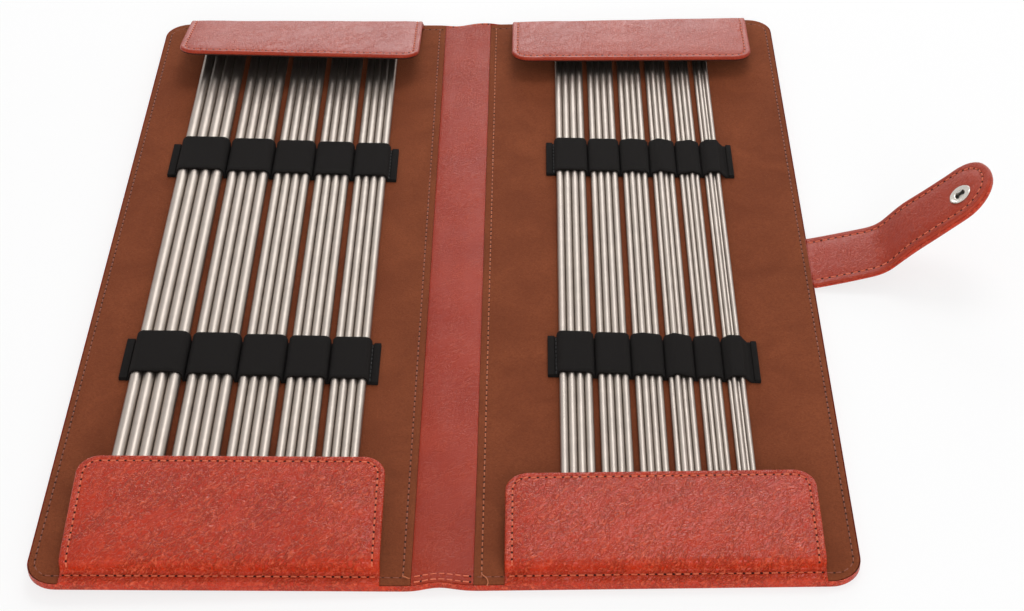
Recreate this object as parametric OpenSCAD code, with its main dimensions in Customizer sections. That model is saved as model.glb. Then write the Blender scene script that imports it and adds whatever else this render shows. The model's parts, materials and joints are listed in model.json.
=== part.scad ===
// Knitting needle case: a folding leather-look case, lying open, with eleven sets of
// double-pointed needles held by elastic loops. Origin: centre of the spine's underside.
// +X runs to the strap side, +Y along the needles, +Z up. Lengths in millimetres.

/* [Case] */
// Width of each cover, from its fold to its fore edge
cover_width = 137.8; // [137:0.1:150]
// Width of the spine between the two folds
spine_width = 22; // [22:0.5:40]
// Free gap at each fold, on both sides of the hinge line
fold_gap = 0.2; // [0.2:0.05:0.5]
// Radius of the covers' free corners
corner_r = 11.5; // [6:0.5:16]

/* [Layers] */
// Thickness of the outer leather
skin_t = 0.9; // [0.6:0.1:1.2]
// Thickness of the stiffening board in a cover
board_t = 1.4; // [1:0.1:2]
// Thickness of the foam under the lining
padding_t = 0.4; // [0.3:0.1:1]
// Thickness of the suede lining
lining_t = 0.7; // [0.5:0.1:1]
// How far the lining stays in from the cover's edge
lining_inset = 0.8; // [0.5:0.1:2]

/* [Needles] */
// Length of every needle
needle_length = 350; // [200:1:400]
// Room between a needle's tip and the end of the case, under the flap's fold
needle_end_room = 17.5; // [16.5:0.1:30]
// Diameters of the left cover's sets, from the fore edge to the spine
left_sizes = [5, 4.5, 4, 3.75, 3.5]; // [3.5:0.25:5]
// Diameters of the right cover's sets, from the spine to the fore edge
right_sizes = [3.25, 3, 2.75, 2.5, 2.25, 2]; // [2:0.25:3.25]
// Length of the taper at each needle's end
taper_length = 12; // [8:1:16]
// Radius of a needle's blunt tip, as a share of its own radius
tip_share = 0.3; // [0.2:0.05:0.5]
// Gap between needles that lie side by side in one loop
needle_gap = 0.05; // [0.02:0.01:0.1]
// Gap between the needles of one set and the next, left cover
left_set_gap = 2.4; // [2.2:0.1:4]
// Gap between the needles of one set and the next, right cover
right_set_gap = 2.2; // [2.1:0.1:4]
// Shift of the right cover's needles towards the spine from the middle of the cover
right_row_shift = 1.1; // [0:0.1:2]

/* [Elastic] */
// Width of an elastic band, along the needles
elastic_width = 25; // [20:1:30]
// Thickness of the elastic
elastic_t = 0.8; // [0.6:0.1:0.9]
// Clearance around the needles in a loop
loop_clearance = 0.1; // [0.08:0.01:0.15]
// Distance of each band's centre line from the middle of the case
elastic_y = 70; // [60:1:90]
// Length of the sewn tab at the fore-edge end, from the last needle
outer_tab = 6.7; // [4:0.1:8]
// Length of the sewn tab at the spine end, from the last needle
inner_tab = 4.2; // [3:0.1:6]

/* [Flaps] */
// Reach of the left cover's flaps, from the cover's end
left_flap_length = 54; // [48:1:60]
// Reach of the right cover's flaps, from the cover's end
right_flap_length = 50; // [46:1:60]
// Distance of a flap's inner side from the fold
flap_inner_margin = 11; // [9:0.5:14]
// Distance of a flap's outer side from the fore edge
flap_outer_margin = 12.7; // [10:0.1:14]
// Radius of a flap's free corners
flap_corner_r = 8.5; // [5:0.5:12]
// Width of the sewn hem at the cover's end
hem_width = 5; // [4:0.5:6]
// Thickness of the hem
hem_t = 1; // [0.9:0.1:1.2]
// Run of the soft fold between the hem and the stiff part
fold_run = 7; // [6:0.5:8]
// Rise of the soft fold, left cover
left_fold_rise = 5.8; // [5.8:0.1:6.6]
// Rise of the soft fold, right cover
right_fold_rise = 4.6; // [4.6:0.1:6]
// Slope of a closed flap's stiff part, left cover
left_flap_slope = 4.5; // [4.5:0.1:6]
// Slope of a closed flap's stiff part, right cover
right_flap_slope = 2.7; // [2.7:0.1:5]
// Thickness of a flap's leather
flap_skin_t = 0.8; // [0.6:0.05:0.8]
// Thickness of a flap's stiffening board
flap_board_t = 0.8; // [0.5:0.1:0.8]
// Thickness of a flap's lower face
flap_backing_t = 0.6; // [0.4:0.1:0.6]
// Thickness of the soft fold
flap_fold_t = 0.9; // [0.7:0.1:0.9]
// Angle that the left bottom flap stands open
left_bottom_raise = 2; // [0:0.5:4]
// Angle that the left top flap stands open
left_top_raise = 6.8; // [0:0.1:15]
// Angle that the right bottom flap stands open
right_bottom_raise = 0.5; // [0:0.5:4]
// Angle that the right top flap stands open
right_top_raise = 3.3; // [0:0.1:15]

/* [Strap] */
// Width of the strap
strap_width = 31.5; // [24:0.5:36]
// Distance of the strap's centre line from the middle of the case
strap_y = -5.8; // [-20:0.1:20]
// Length from the bend to the tip
strap_tip_length = 57; // [50:1:65]
// Slope of the part next to the case
strap_base_slope = 12; // [5:1:30]
// Further slope of the part past the bend
strap_bend = 27.5; // [10:0.5:45]
// Thickness of the strap's inner leather
strap_inner_t = 0.9; // [0.7:0.1:1]
// Thickness of the strap's outer leather
strap_outer_t = 0.9; // [0.7:0.1:1]
// Thickness of the stiffener under the snap
strap_stiffener_t = 0.4; // [0.3:0.1:0.6]

/* [Press stud] */
// Clearance between the socket and the stud's flange with the case shut
snap_clearance = 0.2; // [0.1:0.05:0.4]
// Distance of the snap's centre from the bend
snap_from_bend = 41; // [34:0.5:46]
// Radius of the socket disc
socket_r = 5.7; // [5.6:0.1:6.5]
// Height of the socket above the leather
socket_h = 2.2; // [2.2:0.1:2.4]
// Radius of the socket's mouth
mouth_r = 2.6; // [2.4:0.1:3]
// Radius of the spring wire
wire_r = 0.3; // [0.2:0.05:0.35]
// Radius of the cap on the strap's outer face
cap_r = 6; // [5.5:0.1:7]
// Height of the cap
cap_h = 0.9; // [0.6:0.1:1.5]
// Radius of the rivet shanks
shank_r = 1.2; // [1:0.1:1.4]
// Radius of the stud's flange on the left cover
stud_flange_r = 4.8; // [4:0.1:6]
// Thickness of the stud's flange
stud_flange_t = 0.6; // [0.4:0.1:0.6]
// Radius of the stud's head
stud_head_r = 1.9; // [1.7:0.05:1.9]
// Height of the stud above the leather
stud_h = 2.4; // [2:0.1:2.4]

/* [Hidden] */
$fn = 48;

LEFT = -1;
RIGHT = 1;
BOTTOM = -1;
TOP = 1;

LEATHER = [0.66, 0.22, 0.14];
SUEDE = [0.49, 0.25, 0.17];
ELASTIC = [0.11, 0.10, 0.10];
STEEL = [0.80, 0.77, 0.74];
NICKEL = [0.74, 0.72, 0.69];
BOARD = [0.55, 0.52, 0.47];
FOAM = [0.85, 0.83, 0.78];

case_length = needle_length + 2 * needle_end_room;
half_length = case_length / 2;
spine_half = spine_width / 2;
cover_inner_x = spine_half + fold_gap;
cover_outer_x = cover_inner_x + cover_width;

// Heights of the layers, counted from the underside of the cover
board_z = skin_t;
padding_z = board_z + board_t;
lining_z = padding_z + padding_t;
top_z = lining_z + lining_t;
hem_top_z = top_z + hem_t;

// Each cover turns on a line in the middle of its fold gap, just above the lining
hinge_x = spine_half + fold_gap / 2;
hinge_rise = 0.1;
hinge_z = top_z + hinge_rise;

// The strap turns just outside the fore edge, level with its own inner face
strap_gap = 0.3;
strap_end_gap = 0.1;
strap_x = cover_outer_x + strap_gap;
strap_drop = 0.5;
strap_z = top_z - strap_drop;

// With the case shut, the strap runs over both fore edges and down the left cover, as far
// off its face as the socket and the stud's flange are high. The stud meets the socket there.
strap_base_length =
    2 * hinge_x + hinge_z - strap_z + hinge_z + stud_flange_t + snap_clearance + socket_h;
stud_x = strap_x - snap_from_bend;

// The left cover rests on its stud, so it lies a little tilted about its fold
stud_arm = stud_x - stud_head_r - hinge_x;
stud_drop = stud_h + hinge_z;
left_tilt = atan2(stud_drop, stud_arm) - asin(hinge_z / norm([stud_drop, stud_arm]));

flap_inner_x = cover_inner_x + flap_inner_margin;
flap_outer_x = cover_outer_x - flap_outer_margin;
flap_width = flap_outer_x - flap_inner_x;
flap_hinge_gap = 0.3;

// Needles that ride up on their neighbours, and how closely their centres then stand
// in X as a share of the needles' spacing
left_raised = [for (size = left_sizes) [0, 0, 0, 0]];
left_squeeze = [for (size = left_sizes) 1];
right_raised = [[0, 0, 0, 0], [0, 0, 0, 0], [0, 1, 0, 0], [0, 1, 0, 0], [0, 0, 1, 0], [0, 1, 0, 1]];
right_squeeze = [1, 1, 0.98, 0.91, 0.95, 0.79];

function sum(list, count) = count <= 0 ? 0 : list[count - 1] + sum(list, count - 1);

// Sideways steps from each needle's centre to the next in one set
function steps(size, raised, squeeze) =
    [for (k = [0 : 2]) (size + needle_gap) * (raised[k] == raised[k + 1] ? 1 : squeeze)];
function set_width(size, raised, squeeze) = sum(steps(size, raised, squeeze), 3) + size;
function lift_height(size, squeeze) = (size + needle_gap) * sqrt(1 - squeeze * squeeze);

// Centres [x, z] of a set's four needles, with x counted from the set's first edge
function set_centres(size, raised, squeeze) = [
    for (k = [0 : 3]) [
        size / 2 + sum(steps(size, raised, squeeze), k),
        top_z + loop_clearance + size / 2 + raised[k] * lift_height(size, squeeze)
    ]
];

function row_widths(sizes, raised, squeeze) =
    [for (i = [0 : len(sizes) - 1]) set_width(sizes[i], raised[i], squeeze[i])];
function row_width(widths, gap) = sum(widths, len(widths)) + gap * (len(widths) - 1);

cover_middle_x = (cover_inner_x + cover_outer_x) / 2;
left_widths = row_widths(left_sizes, left_raised, left_squeeze);
right_widths = row_widths(right_sizes, right_raised, right_squeeze);
left_row_x = -cover_middle_x - row_width(left_widths, left_set_gap) / 2;
right_row_x = cover_middle_x - right_row_shift - row_width(right_widths, right_set_gap) / 2;

// Every set as a list of four centres, in the frame of its cover
function row_centres(sizes, raised, squeeze, widths, gap, start) = [
    for (i = [0 : len(sizes) - 1]) [
        for (c = set_centres(sizes[i], raised[i], squeeze[i]))
            [start + sum(widths, i) + i * gap + c[0], c[1]]
    ]
];
left_centres =
    row_centres(left_sizes, left_raised, left_squeeze, left_widths, left_set_gap, left_row_x);
right_centres =
    row_centres(right_sizes, right_raised, right_squeeze, right_widths, right_set_gap, right_row_x);

// Placing

module on_cover(side) {
    if (side == LEFT)
        translate([-hinge_x, 0, hinge_z])
            rotate([0, left_tilt, 0])
                translate([hinge_x, 0, -hinge_z])
                    children();
    else
        children();
}

// Puts a shape drawn for the right cover on either cover
module cover_side(side) {
    on_cover(side) mirror([side == LEFT ? 1 : 0, 0, 0]) children();
}

function flap_raise(side, end) =
    side == LEFT
        ? (end == BOTTOM ? left_bottom_raise : left_top_raise)
        : (end == BOTTOM ? right_bottom_raise : right_top_raise);
function fold_rise(side) = side == LEFT ? left_fold_rise : right_fold_rise;
function flap_slope(side) = side == LEFT ? left_flap_slope : right_flap_slope;
function flap_length(side) = side == LEFT ? left_flap_length : right_flap_length;
function stiff_length(side) =
    (flap_length(side) - hem_width - fold_run) / cos(flap_slope(side));

// A flap's own frame: the hinge line along X, the flap reaching out along +Y
module on_flap(side, end) {
    cover_side(side)
        mirror([0, end == TOP ? 1 : 0, 0])
            translate([0, hem_width - half_length, hem_top_z])
                rotate([flap_raise(side, end), 0, 0])
                    children();
}

module on_flap_board(side, end) {
    on_flap(side, end)
        translate([flap_inner_x, fold_run, fold_rise(side)])
            rotate([flap_slope(side), 0, 0])
                children();
}

module on_strap_base() {
    translate([strap_x, strap_y, strap_z]) rotate([0, -strap_base_slope, 0]) children();
}

module on_strap_tip() {
    on_strap_base() translate([strap_base_length, 0, 0]) rotate([0, -strap_bend, 0]) children();
}

module at_snap() {
    on_strap_tip() translate([snap_from_bend, 0, 0]) children();
}

module at_stud() {
    on_cover(LEFT) translate([-stud_x, strap_y, 0]) children();
}

// Shared shapes

// Flat outline of a cover, square at the fold and rounded at the fore edge. An outline
// that cuts runs on past the fold.
module cover_outline(inset, past_fold = 0) {
    x0 = cover_inner_x - past_fold;
    x1 = cover_outer_x - inset;
    y1 = half_length - inset;
    r = corner_r - inset;
    translate([x0, -y1]) square([x1 - r - x0, 2 * y1]);
    translate([x0, r - y1]) square([x1 - x0, 2 * (y1 - r)]);
    for (end = [BOTTOM, TOP])
        translate([x1 - r, end * (y1 - r)]) circle(r);
}

// Flat outline of a flap's stiff part, rounded at its free corners
module flap_outline(side, inset) {
    length = stiff_length(side) - inset;
    r = flap_corner_r - inset;
    translate([inset, inset]) square([flap_width - 2 * inset, length - r - inset]);
    translate([flap_corner_r, inset]) square([flap_width - 2 * flap_corner_r, length - inset]);
    for (x = [flap_corner_r, flap_width - flap_corner_r])
        translate([x, length - r]) circle(r);
}

// Flat outline of the strap's tip, from the bend to its round end
module tip_outline(inset) {
    r = strap_width / 2 - inset;
    straight = strap_tip_length - strap_width / 2;
    translate([strap_end_gap + inset, -r]) square([straight - strap_end_gap - inset, 2 * r]);
    translate([straight, 0]) circle(r);
}

module slab(z0, z1) {
    translate([0, 0, z0]) linear_extrude(z1 - z0) children();
}

// Spine

module spine_layer(z0, z1) {
    translate([-spine_half, -half_length, z0]) cube([spine_width, case_length, z1 - z0]);
}

module spine_outer_skin() {
    color(LEATHER) spine_layer(0, board_z);
}

module spine_stiffener() {
    color(BOARD) spine_layer(board_z, lining_z);
}

module spine_inner_strip() {
    color(LEATHER) spine_layer(lining_z, top_z);
}

// Covers

// Outer leather, turned up around the three free edges of the board
module cover_skin(side) {
    color(LEATHER) difference() {
        cover_side(side) difference() {
            slab(0, lining_z) cover_outline(0);
            slab(board_z, top_z) cover_outline(skin_t, fold_gap);
        }
        if (side == LEFT) at_stud() cylinder(h = 4 * skin_t, r = shank_r, center = true);
    }
}

module cover_board(side) {
    color(BOARD) difference() {
        cover_side(side) slab(board_z, padding_z) cover_outline(skin_t);
        if (side == LEFT) at_stud() cylinder(h = 2 * lining_z, r = shank_r);
    }
}

module cover_padding(side) {
    color(FOAM) difference() {
        cover_side(side) slab(padding_z, lining_z) cover_outline(skin_t);
        if (side == LEFT) at_stud() cylinder(h = 2 * lining_z, r = stud_flange_r);
    }
}

module lining(side) {
    color(SUEDE) cover_side(side) slab(lining_z, top_z) cover_outline(lining_inset);
}

module hem(side, end) {
    color(LEATHER)
        cover_side(side)
            mirror([0, end == TOP ? 1 : 0, 0])
                translate([flap_inner_x, lining_inset - half_length, top_z])
                    cube([flap_width, hem_width - lining_inset, hem_t]);
}

// Elastic bands

// Corner points of a belt drawn tight around a set's needles, from left over to right.
// Each point lies on the needle that reaches furthest in the direction of its angle.
belt_step = 15;
function reach(centre, angle) = centre[0] * cos(angle) + centre[1] * sin(angle);
function furthest(centres, angle, k = 0, best = 0) =
    k >= len(centres) ? centres[best]
    : furthest(centres, angle, k + 1,
        reach(centres[k], angle) > reach(centres[best], angle) + 0.001 ? k : best);
function belt(centres, radius) = [
    for (angle = [180 : -belt_step : 0])
        furthest(centres, angle) + radius * [cos(angle), sin(angle)]
];
function reversed(list) = [for (i = [len(list) - 1 : -1 : 0]) list[i]];

// Section of one loop, up from its left foot, over the needles and down to its right foot
function loop_line(centres, radius, left_foot, right_foot) = concat(
    [[centres[0][0] - radius, left_foot]],
    belt(centres, radius),
    [[centres[3][0] + radius, right_foot]]
);

// Whole section of a band: its upper side from tab to tab, then back along the lower.
// The tabs are doubled elastic, and between two loops one thickness is sewn down.
module band_section(sizes, rows, tabs) {
    last = len(sizes) - 1;
    x0 = rows[0][0][0] - sizes[0] / 2 - tabs[0];
    x1 = rows[last][3][0] + sizes[last] / 2 + tabs[1];
    tab_z = top_z + 2 * elastic_t;
    web_z = top_z + elastic_t;
    inner_r = [for (size = sizes) size / 2 + loop_clearance];
    upper = [
        for (i = [0 : last])
            for (p = loop_line(rows[i], inner_r[i] + elastic_t,
                    i == 0 ? tab_z : web_z, i == last ? tab_z : web_z))
                p
    ];
    lower = [
        for (i = [0 : last])
            for (p = loop_line(rows[i], inner_r[i], top_z, top_z))
                p
    ];
    polygon(concat(
        [[x0, top_z], [x0, tab_z]], upper, [[x1, tab_z], [x1, top_z]], reversed(lower)
    ));
}

module elastic(side, end) {
    color(ELASTIC)
        on_cover(side)
            translate([0, end * elastic_y + elastic_width / 2, 0])
                rotate([90, 0, 0])
                    linear_extrude(elastic_width)
                        if (side == LEFT)
                            band_section(left_sizes, left_centres, [outer_tab, inner_tab]);
                        else
                            band_section(right_sizes, right_centres, [inner_tab, outer_tab]);
}

// Flaps

// Soft leather that rises from the hem to the stiff part
module flap_fold(side, end) {
    rise = fold_rise(side);
    pitch = rise / fold_run;
    drop = flap_fold_t * norm([fold_run, rise]) / fold_run;
    start = flap_hinge_gap;
    color(LEATHER)
        on_flap(side, end)
            translate([flap_inner_x, 0, 0])
                rotate([90, 0, 90])
                    linear_extrude(flap_width)
                        polygon([
                            [start, start * pitch],
                            [fold_run, rise],
                            [fold_run, rise - drop],
                            [start, start * pitch - drop]
                        ]);
}

// Leather over the stiff part, turned down around the board
module flap_skin(side, end) {
    color(LEATHER)
        on_flap_board(side, end) difference() {
            slab(-flap_skin_t - flap_board_t, 0) flap_outline(side, 0);
            slab(-2 * flap_skin_t - flap_board_t, -flap_skin_t) flap_outline(side, flap_skin_t);
        }
}

module flap_board(side, end) {
    color(BOARD)
        on_flap_board(side, end)
            slab(-flap_skin_t - flap_board_t, -flap_skin_t) flap_outline(side, flap_skin_t);
}

module flap_backing(side, end) {
    under = flap_skin_t + flap_board_t;
    color(LEATHER)
        on_flap_board(side, end)
            slab(-under - flap_backing_t, -under) flap_outline(side, 0);
}

// Strap

module base_plate(z0, z1) {
    translate([strap_end_gap, -strap_width / 2, z0])
        cube([strap_base_length - 2 * strap_end_gap, strap_width, z1 - z0]);
}

module strap_base_inner() {
    color(LEATHER) on_strap_base() base_plate(-strap_inner_t, 0);
}

module strap_base_outer() {
    color(LEATHER) on_strap_base() base_plate(-strap_inner_t - strap_outer_t, -strap_inner_t);
}

module snap_hole() {
    at_snap() cylinder(h = 8 * strap_outer_t, r = shank_r, center = true);
}

module strap_tip_inner() {
    color(LEATHER) difference() {
        on_strap_tip() slab(-strap_inner_t, 0) tip_outline(0);
        snap_hole();
    }
}

module strap_tip_stiffener() {
    color(BOARD) difference() {
        on_strap_tip()
            slab(-strap_inner_t - strap_stiffener_t, -strap_inner_t) tip_outline(strap_outer_t);
        snap_hole();
    }
}

// Outer leather, turned up around the stiffener
module strap_tip_outer() {
    bottom = -strap_inner_t - strap_stiffener_t - strap_outer_t;
    color(LEATHER) difference() {
        on_strap_tip() difference() {
            slab(bottom, -strap_inner_t) tip_outline(0);
            slab(bottom + strap_outer_t, 0) tip_outline(strap_outer_t);
        }
        snap_hole();
    }
}

// Press stud

// Shallow domed cap with the rivet that holds cap, strap and socket together
module snap_cap() {
    under = -strap_inner_t - strap_stiffener_t - strap_outer_t;
    socket_floor = 0.5;
    color(NICKEL) at_snap() rotate_extrude() polygon([
        [0, socket_floor], [shank_r, socket_floor], [shank_r, under], [cap_r, under],
        [cap_r, under - cap_h * 0.35], [cap_r * 0.85, under - cap_h * 0.75],
        [cap_r * 0.5, under - cap_h * 0.95], [0, under - cap_h]
    ]);
}

// Socket: a shallow drum with a round mouth over a hollow for the spring
module snap_socket() {
    floor_t = 0.5;
    lip_t = 0.5;
    hollow_r = socket_r - 1;
    color(NICKEL) at_snap() rotate_extrude() polygon([
        [shank_r, 0], [socket_r - 0.3, 0], [socket_r, 0.3], [socket_r, socket_h - 0.5],
        [socket_r - 0.5, socket_h], [mouth_r + 0.3, socket_h], [mouth_r, socket_h - 0.3],
        [mouth_r, socket_h - lip_t], [hollow_r, socket_h - lip_t], [hollow_r, floor_t],
        [shank_r, floor_t]
    ]);
}

// Spring: a flat oval of wire whose two straight sides grip the stud
module snap_spring() {
    bar_y = stud_head_r + 0.1 + wire_r;
    bar_half = socket_r - 1 - 0.1 - bar_y - wire_r;
    color(STEEL) at_snap() translate([0, 0, 0.5 + 0.1 + wire_r]) {
        for (turn = [0, 180])
            rotate([0, 0, turn]) {
                translate([-bar_half, bar_y, 0])
                    rotate([0, 90, 0]) cylinder(h = 2 * bar_half, r = wire_r, $fn = 24);
                translate([bar_half, 0, 0]) rotate([0, 0, -90])
                    rotate_extrude(angle = 180) translate([bar_y, 0]) circle(wire_r, $fn = 24);
            }
    }
}

// Stud on the outer face of the left cover, with its shank through skin and board
module snap_stud() {
    neck_r = stud_head_r - 0.4;
    color(NICKEL) at_stud() rotate_extrude() polygon([
        [0, padding_z], [shank_r, padding_z], [shank_r, 0], [stud_flange_r, 0],
        [stud_flange_r, 0.2 - stud_flange_t], [stud_flange_r - 0.4, -stud_flange_t],
        [neck_r, -stud_flange_t], [neck_r, -stud_flange_t - 0.6],
        [stud_head_r, -stud_flange_t - 1], [stud_head_r, 0.2 - stud_h],
        [stud_head_r - 0.3, -stud_h], [0, -stud_h]
    ]);
}

// Washer that clinches the stud's shank, hidden in the padding
module snap_stud_rivet() {
    color(NICKEL) at_stud() translate([0, 0, padding_z]) cylinder(h = padding_t, r = stud_flange_r);
}

// Needles

module needle(size) {
    r = size / 2;
    half = needle_length / 2;
    tip_r = r * tip_share;
    rotate([-90, 0, 0]) rotate_extrude($fn = 32) polygon([
        [0, -half], [tip_r, -half + tip_r / 2], [r * 0.75, -half + taper_length * 0.55],
        [r, -half + taper_length], [r, half - taper_length],
        [r * 0.75, half - taper_length * 0.55], [tip_r, half - tip_r / 2], [0, half]
    ]);
}

module needle_set(side, i) {
    sizes = side == LEFT ? left_sizes : right_sizes;
    centres = side == LEFT ? left_centres : right_centres;
    color(STEEL)
        on_cover(side)
            for (c = centres[i])
                translate([c[0], 0, c[1]]) needle(sizes[i]);
}

// Named parts

module left_cover_skin() { cover_skin(LEFT); }
module left_cover_board() { cover_board(LEFT); }
module left_cover_padding() { cover_padding(LEFT); }
module left_lining() { lining(LEFT); }
module left_lower_elastic() { elastic(LEFT, BOTTOM); }
module left_upper_elastic() { elastic(LEFT, TOP); }
module left_bottom_hem() { hem(LEFT, BOTTOM); }
module left_top_hem() { hem(LEFT, TOP); }
module right_cover_skin() { cover_skin(RIGHT); }
module right_cover_board() { cover_board(RIGHT); }
module right_cover_padding() { cover_padding(RIGHT); }
module right_lining() { lining(RIGHT); }
module right_lower_elastic() { elastic(RIGHT, BOTTOM); }
module right_upper_elastic() { elastic(RIGHT, TOP); }
module right_bottom_hem() { hem(RIGHT, BOTTOM); }
module right_top_hem() { hem(RIGHT, TOP); }
module left_bottom_flap_fold() { flap_fold(LEFT, BOTTOM); }
module left_bottom_flap_skin() { flap_skin(LEFT, BOTTOM); }
module left_bottom_flap_board() { flap_board(LEFT, BOTTOM); }
module left_bottom_flap_backing() { flap_backing(LEFT, BOTTOM); }
module left_top_flap_fold() { flap_fold(LEFT, TOP); }
module left_top_flap_skin() { flap_skin(LEFT, TOP); }
module left_top_flap_board() { flap_board(LEFT, TOP); }
module left_top_flap_backing() { flap_backing(LEFT, TOP); }
module right_bottom_flap_fold() { flap_fold(RIGHT, BOTTOM); }
module right_bottom_flap_skin() { flap_skin(RIGHT, BOTTOM); }
module right_bottom_flap_board() { flap_board(RIGHT, BOTTOM); }
module right_bottom_flap_backing() { flap_backing(RIGHT, BOTTOM); }
module right_top_flap_fold() { flap_fold(RIGHT, TOP); }
module right_top_flap_skin() { flap_skin(RIGHT, TOP); }
module right_top_flap_board() { flap_board(RIGHT, TOP); }
module right_top_flap_backing() { flap_backing(RIGHT, TOP); }
module needles_5_00() { needle_set(LEFT, 0); }
module needles_4_50() { needle_set(LEFT, 1); }
module needles_4_00() { needle_set(LEFT, 2); }
module needles_3_75() { needle_set(LEFT, 3); }
module needles_3_50() { needle_set(LEFT, 4); }
module needles_3_25() { needle_set(RIGHT, 0); }
module needles_3_00() { needle_set(RIGHT, 1); }
module needles_2_75() { needle_set(RIGHT, 2); }
module needles_2_50() { needle_set(RIGHT, 3); }
module needles_2_25() { needle_set(RIGHT, 4); }
module needles_2_00() { needle_set(RIGHT, 5); }

spine_outer_skin();
spine_stiffener();
spine_inner_strip();
left_cover_skin();
left_cover_board();
left_cover_padding();
left_lining();
left_lower_elastic();
left_upper_elastic();
left_bottom_hem();
left_top_hem();
snap_stud();
snap_stud_rivet();
right_cover_skin();
right_cover_board();
right_cover_padding();
right_lining();
right_lower_elastic();
right_upper_elastic();
right_bottom_hem();
right_top_hem();
left_bottom_flap_fold();
left_bottom_flap_skin();
left_bottom_flap_board();
left_bottom_flap_backing();
left_top_flap_fold();
left_top_flap_skin();
left_top_flap_board();
left_top_flap_backing();
right_bottom_flap_fold();
right_bottom_flap_skin();
right_bottom_flap_board();
right_bottom_flap_backing();
right_top_flap_fold();
right_top_flap_skin();
right_top_flap_board();
right_top_flap_backing();
strap_base_outer();
strap_base_inner();
strap_tip_outer();
strap_tip_inner();
strap_tip_stiffener();
snap_cap();
snap_socket();
snap_spring();
needles_5_00();
needles_4_50();
needles_4_00();
needles_3_75();
needles_3_50();
needles_3_25();
needles_3_00();
needles_2_75();
needles_2_50();
needles_2_25();
needles_2_00();
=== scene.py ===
"""Looks of the folding knitting needle case: leather, suede, elastic, stitching and steel.

Shapes are drawn in millimetres in the case's own frame and scaled to metres at the end.
A piece of the left cover is drawn on the right one, mirrored, and turned by the small
angle at which the left cover leans on its press stud.
"""
import json
import math
import random

import bmesh
import bpy
from mathutils import Matrix, Vector, noise

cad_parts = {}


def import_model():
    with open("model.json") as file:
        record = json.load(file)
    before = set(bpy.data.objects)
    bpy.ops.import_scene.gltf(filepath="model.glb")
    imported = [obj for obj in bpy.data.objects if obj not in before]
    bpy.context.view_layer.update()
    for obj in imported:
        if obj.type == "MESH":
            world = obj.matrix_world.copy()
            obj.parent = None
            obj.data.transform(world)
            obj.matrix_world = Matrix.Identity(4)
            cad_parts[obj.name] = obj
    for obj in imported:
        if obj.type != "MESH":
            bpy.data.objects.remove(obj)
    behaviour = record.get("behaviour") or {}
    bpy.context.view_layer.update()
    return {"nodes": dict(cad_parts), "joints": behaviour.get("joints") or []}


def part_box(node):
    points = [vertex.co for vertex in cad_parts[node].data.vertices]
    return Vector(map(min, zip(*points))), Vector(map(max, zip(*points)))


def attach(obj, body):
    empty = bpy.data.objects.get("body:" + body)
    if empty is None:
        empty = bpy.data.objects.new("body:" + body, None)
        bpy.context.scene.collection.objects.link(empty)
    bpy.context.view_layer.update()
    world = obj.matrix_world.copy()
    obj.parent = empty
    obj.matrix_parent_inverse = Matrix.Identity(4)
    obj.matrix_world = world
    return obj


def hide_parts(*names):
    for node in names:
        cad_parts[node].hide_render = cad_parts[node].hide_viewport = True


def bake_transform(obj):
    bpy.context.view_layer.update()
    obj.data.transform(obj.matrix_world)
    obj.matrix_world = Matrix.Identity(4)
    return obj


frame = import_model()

MM = 0.001
joints = {joint["name"]: joint for joint in frame["joints"]}


# Sizes, in millimetres, read from the frame

def low(node):
    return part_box(node)[0] / MM


def high(node):
    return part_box(node)[1] / MM


def joint_place(name):
    return Vector(joints[name]["pos_m"]) / MM


CASE_Y = high("right_cover_skin").y
COVER_X = high("right_cover_skin").x
SPINE_X = high("spine_outer_skin").x
SKIN_T = high("spine_outer_skin").z
LINING_Z = low("right_lining").z
TOP_Z = high("right_lining").z
LINING_X0 = low("right_lining").x
LINING_X1 = high("right_lining").x
LINING_Y = high("right_lining").y
HINGE_X = joint_place("right_cover_fold").x
HINGE_Z = joint_place("right_cover_fold").z
CORNER_R = 11.5

# The far edge of the left lining shows how far the left cover leans on its stud
LEFT_LEAN = math.asin((high("left_lining").z - TOP_Z) / (LINING_X1 - HINGE_X))

HEM_Z = high("right_bottom_hem").z
FLAP_X0 = low("right_bottom_hem").x
FLAP_X1 = high("right_bottom_hem").x
FLAP_HINGE_Y = -joint_place("right_bottom_flap_fold").y
FOLD_RUN = 7
FLAP_SKIN_T = 1.6
FLAP_FOLD_T = 0.9
FLAP_UNDER_T = 0.6
FLAP_R = 8.5

ELASTIC_T = 0.8
LOOP_ROOM = 0.1


# Materials

def linear(red, green, blue):
    """A colour named by its 0 to 255 screen values, as shader values."""
    def one(value):
        value /= 255
        return value / 12.92 if value <= 0.04045 else ((value + 0.055) / 1.055) ** 2.4
    return (one(red), one(green), one(blue), 1)


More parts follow.
